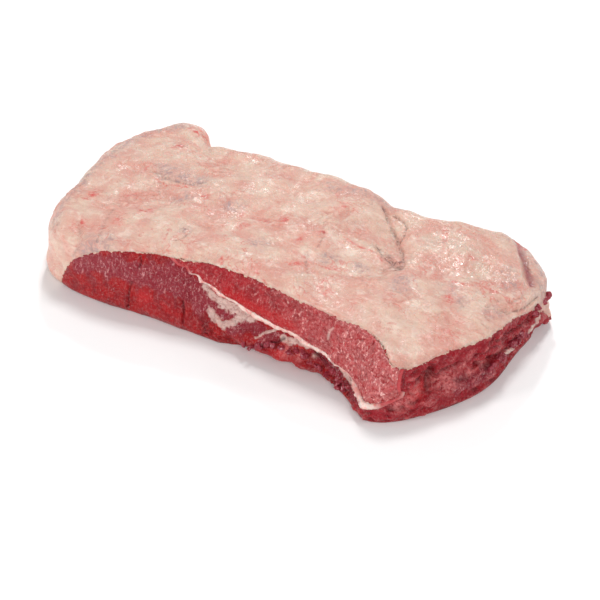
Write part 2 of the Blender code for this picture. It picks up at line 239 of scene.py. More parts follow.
def neighbour_mean(values, pairs):
    """The mean of each point's neighbours, for a list of numbers or of places."""
    count = np.maximum(np.bincount(pairs.ravel(), minlength=len(values)), 1)
    columns = values.reshape(len(values), -1).T
    first, second = pairs.T
    sums = [
        np.bincount(first, column[second], len(values)) + np.bincount(second, column[first], len(values))
        for column in columns
    ]
    return (np.array(sums) / count).T.reshape(values.shape)


def soften(places, pairs, passes):
    """Evens out dents by turns inward and outward, so that the form keeps its size."""
    for _ in range(passes):
        for amount in (0.5, -0.52):
            places = places + amount * (neighbour_mean(places, pairs) - places)
    return places


def merged_copy(node):
    """A CAD node's mesh with its loose triangles joined up."""
    bm = bmesh.new()
    bm.from_mesh(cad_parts[node].data)
    bmesh.ops.remove_doubles(bm, verts=bm.verts, dist=MERGE_REACH)
    mesh = bpy.data.meshes.new(node)
    bm.to_mesh(mesh)
    bm.free()
    return mesh


def baked(mesh, settle):
    """The mesh after the modifiers that settle adds to an object of it."""
    holder = link("holder", mesh)
    settle(holder)
    graph = bpy.context.evaluated_depsgraph_get()
    result = bpy.data.meshes.new_from_object(holder.evaluated_get(graph))
    bpy.data.objects.remove(holder)
    return result


def remeshed(mesh, cell):
    def settle(holder):
        remesh = holder.modifiers.new("even_cells", "REMESH")
        remesh.mode = "VOXEL"
        remesh.voxel_size = cell

    return baked(mesh, settle)


def slab_skin():
    """The whole slab's outer face without its flat facets, which every piece's outer face lies on."""
    bm = bmesh.new()
    for node in (FAT_NODE, *LEAN_NODES):
        bm.from_mesh(solids[node])
    bm.normal_update()
    for vert in bm.verts:
        vert.co += vert.normal * SKIN_GROWTH
    joined = bpy.data.meshes.new("skin")
    bm.to_mesh(joined)
    bm.free()
    skin = remeshed(joined, SKIN_CELL)
    places = soften(places_of(skin), pairs_of(skin), SKIN_PASSES)
    put_places(skin, places)
    return skin


def tree_of(mesh):
    places = places_of(mesh)
    faces = [tuple(face.vertices) for face in mesh.polygons]
    return BVHTree.FromPolygons(places.tolist(), faces)


def nearest_on(places, tree, reach):
    """The nearest spot of a mesh to each place, which way it faces and how far off it is."""
    found = [tree.find_nearest(place, reach) for place in places.tolist()]
    spots = np.array([place if hit[0] is None else hit[0] for hit, place in zip(found, places.tolist())])
    facing = np.array([(0, 0, 0) if hit[1] is None else hit[1] for hit in found])
    gaps = np.array([reach if hit[3] is None else hit[3] for hit in found])
    return spots, facing, gaps


def gap_to(places, trees, reach):
    """How far each place is from the nearest of some meshes, and at most reach."""
    return np.min([nearest_on(places, tree, reach)[2] for tree in trees], axis=0)


def fine_piece(node, cell):
    """A node's form in small even cells, with its open faces laid on the slab's smooth skin.

    Returns the mesh, its unit directions outward, and how free each point is of its neighbours.
    """
    mesh = remeshed(solids[node].copy(), cell)
    others = [solid_trees[other] for other in solid_trees if other != node]
    places = places_of(mesh)
    pairs = pairs_of(mesh)
    reach = 3 * EDGE_EASE
    gaps = gap_to(places, others, reach)
    shown = gaps > OPEN_GAP
    for _ in range(EDGE_RINGS):
        touched = shown[pairs].any(axis=1)
        shown[pairs[touched].ravel()] = True
    coarse = ~shown | (places[:, 2] < UNDERSIDE)
    keep = (np.count_nonzero(~coarse) + HIDDEN_KEEP * np.count_nonzero(coarse)) / len(coarse)

    def settle(holder):
        group = holder.vertex_groups.new(name="coarse")
        group.add(np.nonzero(coarse)[0].tolist(), 1.0, "REPLACE")
        thin = holder.modifiers.new("thin_hidden_faces", "DECIMATE")
        thin.ratio = keep
        thin.vertex_group = "coarse"
        thin.vertex_group_factor = 1.0

    mesh = baked(mesh, settle)
    mesh.shade_smooth()
    normals = normals_of(mesh)
    places = places_of(mesh) + OVERLAP * normals
    spots, facing, near = nearest_on(places, skin_tree, SNAP_REACH)
    covered = np.zeros(len(places), bool)
    close = np.nonzero(near < SNAP_REACH)[0]
    for tree in others:
        rays = zip((places[close] + COVER_LIFT * facing[close]).tolist(), facing[close].tolist())
        covered[close] |= [tree.ray_cast(place, ray, COVER_REACH)[0] is not None for place, ray in rays]
    outward = smooth_step((normals * facing).sum(axis=1), 0.25, 0.7) * ~covered
    outward *= 1 - smooth_step(near, 0.6 * SNAP_REACH, SNAP_REACH)
    places += outward[:, None] * (spots - places)
    depth = ((spots - places) * facing).sum(axis=1)
    sink = np.where(covered, np.clip(COVER_LEAST - depth, 0, COVER_REACH), 0)
    places -= sink[:, None] * facing
    places[:, 2] = np.maximum(places[:, 2], 0)
    for tree in others:
        touching, _, gaps = nearest_on(places, tree, JOIN_REACH)
        at_edge = (1 - smooth_step(gaps, 0.5 * JOIN_REACH, JOIN_REACH)) * (near < JOIN_DEPTH) * ~covered
        places += (JOIN_SHARE * at_edge)[:, None] * (touching - places)
    put_places(mesh, places)
    gaps = gap_to(places, others, reach)
    free = outward * smooth_step(gaps, EDGE_START, EDGE_EASE)
    across = [solid_trees[other] for other in solid_trees if (other == FAT_NODE) != (node == FAT_NODE)]
    put_values(mesh, "border", gap_to(places, across, BORDER_REACH) / BORDER_REACH)
    return mesh, normals_of(mesh), free


def put_relief(mesh, normals, relief, floor_ease):
    """Moves each point outward by its relief, which fades out down at the bench."""
    places = places_of(mesh)
    standing = smooth_step(places[:, 2], FLOOR_START, floor_ease)
    put_places(mesh, places + normals * (relief * standing)[:, None])


def finished(name, mesh, masks, finish):
    for layer, values in masks.items():
        put_values(mesh, layer, values)
    mesh.materials.clear()
    mesh.materials.append(finish)
    return link(name, mesh)


def ripple(places, size, seed=0.0, stretch=(1, 1, 1)):
    """Smooth noise about zero, with lumps of the given size."""
    scaled = places * np.array(stretch) / size + seed
    return 2 * np.array([noise.noise(place) for place in scaled.tolist()])


def cell_edges(places, size, seed=0.0, stretch=(1, 1, 1)):
    """0 on the lines between uneven cells of the given size, rising to about 1 inside them."""
    scaled = places * np.array(stretch) / size + seed
    found = [noise.voronoi(place)[0] for place in scaled.tolist()]
    return np.array([spans[1] - spans[0] for spans in found])


def pixel_ray(x, y):
    """The direction from the camera through a pixel of the photograph."""
    across = (x - PHOTO_SIDE / 2) / FOCAL_PIXELS
    up = (PHOTO_SIDE / 2 - y) / FOCAL_PIXELS
    return (CAMERA_TURN.to_matrix() @ Vector((across, up, -1.0))).normalized()


def on_skin(x, y):
    """Where the view through a pixel meets the slab, or passes nearest to it."""
    ray = pixel_ray(x, y)
    hit = skin_tree.ray_cast(CAMERA_PLACE, ray)[0]
    if hit is not None:
        return hit
    depth = -CAMERA_PLACE.dot(ray)
    return skin_tree.find_nearest(CAMERA_PLACE + ray * depth)[0]


def bent(places, reach, size, seed):
    """The places moved about by smooth noise, so that what is drawn at them has uneven outlines."""
    shifts = [ripple(places, size, seed + axis * 5.7) for axis in range(3)]
    return places + np.column_stack(shifts) * reach


def near_route(places, pixels, half_width):
    """1 on a line through the pixels' places on the slab, fading out beside it."""
    line = np.array([on_skin(x, y) for x, y in pixels])
    best = np.full(len(places), 1.0)
    for start, end in zip(line, line[1:]):
        run = end - start
        share = np.clip(((places - start) @ run) / (run @ run), 0, 1)
        gap = np.linalg.norm(places - start - share[:, None] * run, axis=1)
        best = np.minimum(best, gap)
    return np.exp(-((best / half_width) ** 2))


def near_spots(places, spots):
    """1 at each spot, fading out at its radius, which is given in millimetres."""
    total = np.zeros(len(places))
    for x, y, radius in spots:
        gap = np.linalg.norm(places - np.array(on_skin(x, y)), axis=1)
        total = np.maximum(total, np.exp(-((gap / (radius * MM)) ** 2)))
    return total


solids = {node: merged_copy(node) for node in (FAT_NODE, *LEAN_NODES)}
solid_trees = {node: tree_of(mesh) for node, mesh in solids.items()}
skin_tree = tree_of(slab_skin())


def shader_nodes(name, roughness, subsurface, subsurface_scale):
    """A new material with Object coordinates and small makers for its nodes."""
    made = bpy.data.materials.new(name)
    made.use_nodes = True
    nodes = made.node_tree.nodes
    links = made.node_tree.links
    shader = nodes["Principled BSDF"]
    shader.inputs["Roughness"].default_value = roughness
    shader.inputs["Subsurface Weight"].default_value = subsurface
    shader.inputs["Subsurface Scale"].default_value = subsurface_scale
    shader.inputs["Subsurface Radius"].default_value = (1.0, 0.35, 0.25)
    shader.inputs["Specular IOR Level"].default_value = 0.08
    shader.inputs["Coat Weight"].default_value = 0.42
    shader.inputs["Coat Roughness"].default_value = 0.17
    coordinates = nodes.new("ShaderNodeTexCoord")
    return made, nodes, links, shader, coordinates.outputs["Object"]


def stretched(tree, vector, scale):
    """Coordinates drawn out along an axis, for fibres."""
    nodes, links = tree
    mapping = nodes.new("ShaderNodeMapping")
    mapping.inputs["Scale"].default_value = scale
    links.new(vector, mapping.inputs["Vector"])
    return mapping.outputs["Vector"]


def mottle(tree, vector, size, detail=3.0, warp=0.0):
    """A noise texture whose patches are about the given size in metres."""
    nodes, links = tree
    texture = nodes.new("ShaderNodeTexNoise")
    texture.inputs["Scale"].default_value = 1 / size
    texture.inputs["Detail"].default_value = detail
    texture.inputs["Distortion"].default_value = warp
    links.new(vector, texture.inputs["Vector"])
    return texture.outputs["Fac"]


def banded(tree, value, low, high):
    """The value taken from low to high onto 0 to 1."""
    nodes, links = tree
    band = nodes.new("ShaderNodeMapRange")
    band.interpolation_type = "SMOOTHSTEP"
    band.inputs["From Min"].default_value = low
    band.inputs["From Max"].default_value = high
    links.new(value, band.inputs["Value"])
    return band.outputs["Result"]


def maths(tree, operation, first, second):
    nodes, links = tree
    step = nodes.new("ShaderNodeMath")
    step.operation = operation
    for socket, value in zip(step.inputs, (first, second)):
        if isinstance(value, (int, float)):
            socket.default_value = value
        else:
            links.new(value, socket)
    return step.outputs["Value"]


def times(tree, first, second):
    return maths(tree, "MULTIPLY", first, second)


def mask(tree, name):
    nodes, _ = tree
    layer = nodes.new("ShaderNodeAttribute")
    layer.attribute_name = name
    return layer.outputs["Fac"]


def over(tree, share, below, above):
    """Colour above laid over colour below by share. Each may be a colour or a socket."""
    nodes, links = tree
    mix = nodes.new("ShaderNodeMix")
    mix.data_type = "RGBA"
    links.new(share, mix.inputs["Factor"])
    for socket, colour in ((mix.inputs["A"], below), (mix.inputs["B"], above)):
        targets = [one for one in mix.inputs if one.name == socket.name and one.type == "RGBA"]
        if isinstance(colour, tuple):
            targets[0].default_value = colour
        else:
            links.new(colour, targets[0])
    return [one for one in mix.outputs if one.type == "RGBA"][0]


def jagged(tree, place, side):
    """1 where the uneven line between fat and lean strays onto this side, -1 for fat and 1 for lean."""
    stray = times(tree, maths(tree, "SUBTRACT", mottle(tree, place, 2.8 * MM, 3.0, 0.3), 0.5), side)
    past = maths(tree, "SUBTRACT", times(tree, stray, BORDER_JAG), mask(tree, "border"))
    return banded(tree, past, -0.02, 0.03)


def raised(tree, shader, height, distance, wet_height, wet_distance):
    """Fine relief from a height for the body, and a smoother one for the wet film over it."""
    nodes, links = tree
    for target, values, reach in (("Normal", height, distance), ("Coat Normal", wet_height, wet_distance)):
        bump = nodes.new("ShaderNodeBump")
        bump.inputs["Distance"].default_value = reach
        links.new(values, bump.inputs["Height"])
        links.new(bump.outputs["Normal"], shader.inputs[target])


def fat_finish():
    made, nodes, links, shader, place = shader_nodes("beef_fat", 0.42, 0.35, 4 * MM)
    tree = (nodes, links)
    cream = paint(217, 186, 169)
    blush = paint(213, 162, 148)
    ivory = paint(232, 211, 197)
    rose = paint(206, 100, 94)
    grey = paint(178, 148, 144)
    painted_shade = paint(104, 68, 66)
    # A rose-brown used as painted shade in the hollows, and also for the fat's own darker streaks.
    streak_and_hollow_shade = paint(200, 134, 122)
    purple = paint(138, 58, 68)
    red = paint(166, 30, 38)
    broad = banded(tree, mottle(tree, place, 22 * MM, 4.0, 0.6), 0.38, 0.64)
    colour = over(tree, broad, cream, blush)
    pale = banded(tree, mottle(tree, place, 9 * MM, 4.0, 0.9), 0.52, 0.72)
    colour = over(tree, times(tree, pale, 0.6), colour, ivory)
    threads = mottle(tree, place, 13 * MM, 5.0, 1.6)
    ridge = maths(tree, "ABSOLUTE", maths(tree, "SUBTRACT", threads, 0.5), 0.0)
    vein = maths(tree, "SUBTRACT", 1.0, banded(tree, ridge, 0.0, 0.03))
    patchy = banded(tree, mottle(tree, place, 30 * MM, 2.0), 0.45, 0.65)
    vein = times(tree, times(tree, vein, patchy), 0.6)
    colour = over(tree, vein, colour, rose)
    # Painted shade: the hollows between the lumps and the creases are painted rose-brown.
    colour = over(tree, times(tree, mask(tree, "hollow_shade"), 0.55), colour, streak_and_hollow_shade)
    strings = mottle(tree, stretched(tree, place, (0.35, 1.0, 1.0)), 2.2 * MM, 3.0, 0.8)
    colour = over(tree, times(tree, banded(tree, strings, 0.55, 0.7), 0.4), colour, ivory)
    colour = over(tree, times(tree, banded(tree, strings, 0.42, 0.3), 0.3), colour, streak_and_hollow_shade)
    ragged = maths(tree, "ADD", banded(tree, mottle(tree, place, 3 * MM, 4.0, 0.8), 0.35, 0.65), 0.15)
    colour = over(tree, times(tree, mask(tree, "purple"), 0.85), colour, purple)
    # painted_shade lays painted shade in crevices and creases; grey and rose are the fat's own colours.
    for layer, tint in (("grey", grey), ("rose", rose), ("painted_shade", painted_shade)):
        share = times(tree, mask(tree, layer), ragged)
        colour = over(tree, share, colour, tint)
    colour = over(tree, jagged(tree, place, -1), colour, red)
    links.new(colour, shader.inputs["Base Color"])
    wet = banded(tree, mottle(tree, place, 18 * MM, 3.0, 0.5), 0.42, 0.62)
    wet = maths(tree, "ADD", wet, times(tree, mask(tree, "shine"), 1.6))
    links.new(maths(tree, "ADD", times(tree, wet, 0.26), 0.06), shader.inputs["Coat Weight"])
    gloss = banded(tree, mottle(tree, place, 6 * MM, 3.0), 0.3, 0.75)
    gloss = maths(tree, "ADD", times(tree, gloss, 0.25), 0.3)
    gloss = maths(tree, "SUBTRACT", gloss, times(tree, mask(tree, "shine"), 0.14))
    links.new(gloss, shader.inputs["Roughness"])
    fine = maths(tree, "ADD", mottle(tree, place, 3.5 * MM, 4.0, 0.8), mottle(tree, place, 1.1 * MM, 2.0))
    shader.inputs["Coat Roughness"].default_value = 0.24
    film = mottle(tree, stretched(tree, place, (0.7, 1.0, 1.0)), 3.8 * MM, 1.5, 0.5)
    raised(tree, shader, fine, 1.1 * MM, film, 1.6 * MM)
    return made


def fat_piece():
    mesh, normals, free = fine_piece(FAT_NODE, FAT_CELL)
    places = places_of(mesh)
    edges = cell_edges(bent(places, LOBULE_WARP, 9 * MM, 3.1), LOBULE_SIZE, 2.0)
    drawn = bent(bent(places, 2.2 * MM, 6 * MM, 1.3), 0.8 * MM, 2.2 * MM, 4.4)
    crease = np.exp(-((edges / 0.16) ** 2))
    patches = smooth_step(ripple(places, 34 * MM, 5.0), -0.25, 0.5)
    lively = smooth_step(ripple(places, 21 * MM, 17.0), -0.5, 0.7)
    lumps = ripple(places, 13 * MM, 1.0, (0.75, 1, 1))
    knots = ripple(places, 6 * MM, 4.0, (0.6, 1, 1)) * (0.25 + 0.75 * lively)
    height = -LOBULE_CREASE * crease * (0.15 + 0.85 * patches * lively)
    height += FAT_ROLL * lumps + 0.35 * FAT_ROLL * knots
    height += FAT_GRAIN * ripple(places, 2.6 * MM, 9.0, (0.6, 1, 1)) * (0.3 + 0.7 * lively)
    shine = near_route(places, SHINE_PATCH, SHINE_WIDTH)
    wrinkles = ripple(places, 2.4 * MM, 7.0, (1.0, 0.45, 1.0))
    height += WRINKLE_RISE * shine * wrinkles
    # Painted shade: the crevices and the floor of each crease are painted darker, more so for deeper creases.
    painted_shade = near_spots(drawn, SHADED_CREVICES)
    rose = near_spots(drawn, ROSE_SPOTS)
    for pixels, depth, half_width in CREASES:
        line = near_route(places, pixels, half_width * MM)
        height -= depth * MM * line
        shade = CREASE_SHADE * min(depth / CREASE_DARKEST, 1)
        painted_shade = np.maximum(painted_shade, shade * near_route(places, pixels, 0.55 * half_width * MM))
    for pixels, rise, half_width in RIDGES:
        height += rise * MM * near_route(places, pixels, half_width * MM)
    for pixels in VEINS:
        rose = np.maximum(rose, 0.8 * near_route(places, pixels, VEIN_WIDTH))
    purple = near_route(bent(places, 1.2 * MM, 8 * MM, 5.2), PURPLE_FOLD, PURPLE_WIDTH)
    height -= PURPLE_DEPTH * purple
    grey = near_spots(drawn, GREY_SPOTS)
    for pixels, half_width, share in GREY_FILMS:
        grey = np.maximum(grey, share * near_route(drawn, pixels, half_width * MM))
    # Painted shade: the low places of the lumps and the creases, as the mask for the hollow colour.
    hollow_shade = smooth_step(-knots - 0.6 * lumps, -0.1, 1.2)
    hollow_shade = np.maximum(hollow_shade * 0.6, crease * (0.15 + 0.85 * patches * lively))
    hidden_side = smooth_step(places[:, 1], *HIDDEN_SIDE)
    grey = np.maximum(grey, 0.7 * hidden_side * smooth_step(ripple(places, 26 * MM, 6.0), -0.2, 0.5))
    rose = np.maximum(rose, 0.6 * hidden_side * smooth_step(ripple(places, 11 * MM, 16.0), 0.45, 0.8))
    put_relief(mesh, normals, height * free, FAT_FLOOR_EASE)
    masks = {"rose": rose, "grey": grey, "painted_shade": painted_shade, "purple": purple, "shine": shine, "hollow_shade": hollow_shade}
    return finished("fat_blanket", mesh, masks, fat_finish())


fat = fat_piece()
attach(fat, "root")
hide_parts(FAT_NODE)

# The lower muscle: the thick sheet of lean that everything lies on. Its long side was cut along
# the fibres, and a purple skin still covers the upper part of that face. The lower edge is
# ragged where a knife tore it, and the right end is cut across in folds that follow the fat.
LEAN_CELL = 0.75 * MM
LEAN_ROLL = 0.4 * MM
LEAN_FIBRE = 0.17 * MM
RAG_DEPTH = 1.1 * MM
END_FOLD = 1.3 * MM
RAGGED = [(206, 333), (226, 342), (248, 349), (270, 358), (292, 366), (314, 372), (336, 384), (352, 396)]
FILM = [
    ([(80, 265), (94, 263), (112, 267), (130, 272)], 8),
    ([(134, 273), (152, 277), (170, 281), (188, 290), (206, 302)], 9.5),
    ([(172, 271), (188, 279), (202, 291)], 6.5),
    ([(210, 303), (220, 311), (226, 318)], 4),
    ([(217, 307), (226, 311), (234, 313)], 3.6),
    ([(230, 328), (245, 325), (260, 329)], 4.5),
    ([(263, 342), (272, 338), (282, 336)], 3.6),
    ([(318, 352), (330, 363), (341, 374)], 3.4),
    ([(460, 388), (474, 382), (488, 374)], 6),
    ([(346, 384), (356, 396), (368, 406)], 4.5),
]
SINEW_ROUTES = [
    ([(206, 285), (209, 291), (214, 297), (222, 301), (232, 306), (243, 311), (256, 317)], 2.3),
    ([(222, 303), (234, 309), (248, 315)], 2.8),
    ([(210, 311), (215, 318), (223, 326), (233, 322), (241, 317), (252, 318)], 2.5),
    ([(256, 338), (266, 333), (277, 329)], 0.8),
    ([(283, 337), (291, 342), (299, 341), (307, 346)], 1.9),
    ([(341, 369), (348, 378), (356, 388)], 1.7),
    ([(360, 392), (366, 401), (374, 405)], 1.5),
    ([(529, 331), (534, 326), (539, 318)], 1.7),
    ([(504, 356), (511, 350), (518, 343)], 1.7),
]
SINEW_SPOTS = [(315, 356, 1.4), (333, 370, 1.2)]
GLOW_SPOTS = [(417, 390, 6), (144, 297, 5), (283, 352, 6), (300, 352, 5), (312, 344, 3)]
FLAP = [(438, 380, 6), (446, 377, 7), (450, 386, 6)]
PALE_SPOTS = [
    (414, 392, 4), (408, 402, 4), (398, 406, 4), (463, 366, 3), (470, 372, 3), (482, 362, 3),
    (500, 350, 2.5), (514, 340, 2.5), (526, 328, 2), (286, 351, 4), (300, 356, 4),
]
DEEP_GROOVES = [
    ([(409, 389), (420, 381), (430, 376), (442, 370), (456, 365), (470, 361)], 1.8, 1.1),
    ([(478, 356), (492, 349), (503, 343), (515, 335), (525, 327), (534, 315)], 2.1, 1.0),
    ([(476, 362), (490, 357), (502, 351), (512, 345)], 1.7, 0.9),
    ([(497, 341), (508, 334), (518, 328), (527, 320), (537, 308)], 1.7, 0.8),
    ([(431, 370), (429, 378), (427, 386)], 3.4, 2.2),
    ([(404, 377), (404, 386), (400, 396)], 1.0, 0.8),
    ([(131, 282), (129, 292), (128, 308)], 1.3, 0.8),
    ([(183, 301), (184, 311), (183, 323)], 1.4, 0.7),
    ([(140, 256), (141, 262), (139, 268)], 1.0, 0.8),
    ([(250, 349), (262, 346), (276, 342), (284, 338)], 1.7, 1.2),
    ([(316, 352), (324, 360), (334, 370)], 1.6, 1.0),
]
FOLDS = [
    ([(436, 373), (444, 371), (454, 369)], 1.6, 2.2),
    ([(436, 375), (438, 384), (440, 393)], 1.6, 2.0),
    ([(408, 396), (416, 390), (424, 385)], 1.1, 2.4),
    ([(482, 353), (496, 346), (510, 337), (524, 325)], 0.9, 1.3),
    ([(133, 284), (131, 294), (130, 306)], 0.7, 1.2),
]
END_SPAN = (92 * MM, 122 * MM)
RAG_REACH = 8 * MM
NUB_RISE = 1.2 * MM
SINEW_RISE = 0.35 * MM
LEAN_FLOOR_EASE = 4 * MM


def lean_finish(name, red, pale_grain):
    made, nodes, links, shader, place = shader_nodes(name, 0.3, 0.25, 3 * MM)
    tree = (nodes, links)
    bright = paint(*red)
    dusk = paint(132, 14, 24)
    pink = paint(216, 128, 126)
    film = paint(136, 32, 46)
    # A pale pink for the skin's own streaks and for its painted sheen.
    pale_streak_and_sheen = paint(220, 158, 158)
    # A pale pink for painted glints.
    glint = paint(238, 190, 184)
    wine = paint(150, 24, 38)
    glow = paint(184, 16, 22)
    cream = paint(222, 186, 166)
    sinew = paint(214, 182, 172)
    gristle = paint(184, 144, 136)
    # A near-black red, used only as painted shade in grooves, fold valleys and between shreds.
    painted_shade = paint(52, 10, 12)
    colour = over(tree, banded(tree, mottle(tree, place, 8 * MM, 4.0, 0.8), 0.35, 0.7), bright, dusk)
    along = stretched(tree, place, (0.5, 1.0, 0.6))
    threads = banded(tree, mottle(tree, along, 1.3 * MM, 3.0, 0.4), 0.58, 0.75)
    colour = over(tree, times(tree, threads, 0.28), colour, pink)
    grain = times(tree, mask(tree, "grain"), pale_grain)
    colour = over(tree, grain, colour, pink)
    ragged = maths(tree, "ADD", mottle(tree, place, 3 * MM, 3.0), 0.4)
    end = times(tree, mask(tree, "deep"), 0.75)
    colour = over(tree, end, colour, wine)
    skin = times(tree, mask(tree, "film"), 0.9)
    # The skin's pale scratch lines are partly its own pale streaks and partly painted sheen, a reflection put
    # into the colour.
    scratches = mottle(tree, stretched(tree, place, (1.0, 1.0, 0.35)), 1.2 * MM, 3.0, 1.0)
    film_streaks_and_sheen = over(tree, times(tree, banded(tree, scratches, 0.55, 0.68), 0.65), film, pale_streak_and_sheen)
    colour = over(tree, skin, colour, film_streaks_and_sheen)
    flecks = banded(tree, mottle(tree, place, 2.4 * MM, 3.0, 0.6), 0.3, 0.55)
    sinew = over(tree, flecks, gristle, sinew)
    # painted_shade is painted shade; glow and sinew are the lean's own colours.
    for layer, tint in (("glow", glow), ("sinew", sinew), ("painted_shade", painted_shade)):
        share = times(tree, mask(tree, layer), ragged)
        colour = over(tree, share, colour, tint)
    # pale is the lean's own pink, and painted highlight on the crests of the end folds.
    broken = banded(tree, mottle(tree, place, 2 * MM, 4.0, 0.8), 0.3, 0.6)
    pale = times(tree, times(tree, mask(tree, "pale"), broken), 0.8)
    colour = over(tree, pale, colour, pink)
    # Painted glints: small pale flecks stand in for wet highlights; the small dark flecks are the lean's own
    # grain.
    fleck_and_glint_noise = mottle(tree, stretched(tree, place, (1.0, 1.0, 0.6)), 1.2 * MM, 2.0, 0.8)
    share = maths(tree, "ADD", mask(tree, "grain"), 0.1)
    colour = over(tree, times(tree, banded(tree, fleck_and_glint_noise, 0.42, 0.34), share), colour, dusk)
    colour = over(tree, times(tree, banded(tree, fleck_and_glint_noise, 0.56, 0.62), share), colour, glint)
    colour = over(tree, jagged(tree, place, 1), colour, cream)
    links.new(colour, shader.inputs["Base Color"])
    gloss = banded(tree, mottle(tree, place, 4 * MM, 3.0), 0.3, 0.7)
    gloss = maths(tree, "ADD", times(tree, gloss, 0.22), 0.2)
    links.new(gloss, shader.inputs["Roughness"])
    fine = maths(tree, "ADD", mottle(tree, along, 1.8 * MM, 4.0, 0.6), mottle(tree, place, 0.9 * MM, 2.0))
    raised(tree, shader, fine, 1.2 * MM, mottle(tree, place, 2.4 * MM, 2.0, 0.5), 3.6 * MM)
    return made


def lower_piece():
    mesh, normals, free = fine_piece("lower_muscle", LEAN_CELL)
    places = places_of(mesh)
    end = smooth_step(places[:, 0], *END_SPAN)
    rag = near_route(places, RAGGED, RAG_REACH)
    fibres = ripple(places, 2.2 * MM, 3.0, (0.3, 1.0, 1.0))
    height = LEAN_ROLL * ripple(places, 9 * MM, 1.0) + 0.6 * LEAN_ROLL * ripple(places, 4 * MM, 5.0)
    height += LEAN_FIBRE * fibres * (1 - end)
    folds = ripple(bent(places, 1.5 * MM, 7 * MM, 8.0), 3.4 * MM, 14.0, (0.6, 0.35, 1.0))
    flap = near_spots(places, FLAP)
    height += END_FOLD * (1 - flap) * end * folds
    shreds = np.exp(-((cell_edges(places, 5.5 * MM, 6.0, (1.0, 1.0, 1.6)) / 0.2) ** 2))
    height += RAG_DEPTH * (rag + 0.5 * end) * (0.7 * ripple(places, 3.4 * MM, 2.0) - shreds)
    # Painted shade: the gaps between the torn shreds and the valleys of the end folds are painted darker.
    painted_shade = np.maximum(0.5 * rag * shreds, 0.45 * end * smooth_step(-folds, 0.25, 0.9))
    glow = near_spots(places, GLOW_SPOTS)
    for pixels, depth, half_width in DEEP_GROOVES:
        line = near_route(places, pixels, half_width * MM)
        height -= depth * MM * line
        # Painted shade along the floor of each deep groove.
        painted_shade = np.maximum(painted_shade, 0.7 * near_route(places, pixels, 0.7 * half_width * MM))
    for pixels, rise, half_width in FOLDS:
        height += rise * MM * near_route(places, pixels, half_width * MM)
    film = np.zeros(len(places))
    border = np.clip(0.5 + 0.25 * ripple(places, 5 * MM, 12.0), 0.25, 0.85)
    for pixels, half_width in FILM:
        soft = near_route(places, pixels, half_width * MM)
        film = np.maximum(film, smooth_step(soft, border - 0.22, border + 0.12))
    # The pale pink spots and the flap are the lean's own colour; the crests of the end folds are painted
    # paler as painted highlight.
    pale = np.maximum(near_spots(places, PALE_SPOTS), 0.5 * end * smooth_step(folds, 0.3, 0.9))
    pale = np.maximum(pale, flap)
    sinew = near_spots(places, SINEW_SPOTS)
    height += NUB_RISE * sinew
    torn = np.clip(0.36 + 0.25 * ripple(places, 1.8 * MM, 11.0), 0.15, 0.9)
    for pixels, half_width in SINEW_ROUTES:
        soft = near_route(places, pixels, half_width * MM)
        sinew = np.maximum(sinew, smooth_step(soft, torn - 0.12, torn + 0.15))
    put_relief(mesh, normals, (height + SINEW_RISE * sinew) * free, LEAN_FLOOR_EASE)
    masks = {"film": film, "deep": end, "glow": glow, "sinew": sinew, "painted_shade": painted_shade, "pale": pale}
    return finished("lower_flank", mesh, masks, lean_finish("lower_lean", (160, 8, 14), 0.0))


lower = lower_piece()
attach(lower, "root")
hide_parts("lower_muscle")

# The upper muscle: a flat lens of lean that was cut across its fibres, so that its face shows
# the ends of the bundles as small wet cobbles, paler than the lean between them. Above the
# white sheet runs a strip without skin, which is the brightest red on the whole piece.
LENS_CELL = 0.6 * MM
BUNDLE_SIZE = 2.3 * MM
BUNDLE_RISE = 0.5 * MM
LENS_ROLL = 0.5 * MM
BRIGHT_STRIP = [(228, 293), (246, 303), (262, 311), (278, 319), (292, 327)]
STRIP_WIDTH = 4.5 * MM
LENS_SINEW = [(333, 328), (329, 332), (328, 339)]
LENS_SINEW_WIDTH = 0.7 * MM
LENS_RIM = [(400, 362), (402, 376), (399, 391)]
LENS_RIM_WIDTH = 2.5 * MM
PINKER_SPAN = (10 * MM, 110 * MM)
BUNDLE_WARP = 1.2 * MM


def upper_piece():
    mesh, normals, free = fine_piece("upper_muscle", LENS_CELL)
    places = places_of(mesh)
    warp = np.column_stack([ripple(places, 4 * MM, seed) for seed in (2.2, 6.1, 9.4)]) * BUNDLE_WARP
    edges = cell_edges(places + warp, BUNDLE_SIZE, 3.0, (1.0, 1.0, 0.6))
    cobbles = smooth_step(edges, 0.02, 0.5)
    height = BUNDLE_RISE * (cobbles - 0.6)
    height += LENS_ROLL * ripple(places, 10 * MM, 2.0) + 0.5 * LENS_ROLL * ripple(places, 4.5 * MM, 7.0)
    streaks = smooth_step(ripple(places + warp, 1.6 * MM, 5.0, (1.0, 1.0, 0.7)), -0.1, 0.9)
    grain = streaks * (0.35 + 0.65 * smooth_step(ripple(places, 7 * MM, 13.0), -0.5, 0.5))
    strip = near_route(places, BRIGHT_STRIP, STRIP_WIDTH)
    rightward = smooth_step(places[:, 0], *PINKER_SPAN)
    grain *= (1 - 0.85 * strip) * (0.45 + 0.75 * rightward)
    grain = np.maximum(grain, 0.55 * near_route(places, LENS_RIM, LENS_RIM_WIDTH))
    sinew = near_route(places, LENS_SINEW, LENS_SINEW_WIDTH)
    put_relief(mesh, normals, height * free, LEAN_FLOOR_EASE)
    masks = {"glow": 0.85 * strip, "sinew": sinew, "grain": grain, "pale": 0.6 * rightward}
    return finished("upper_flank", mesh, masks, lean_finish("upper_lean", (168, 32, 40), 0.8))


upper = upper_piece()
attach(upper, "root")
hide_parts("upper_muscle")

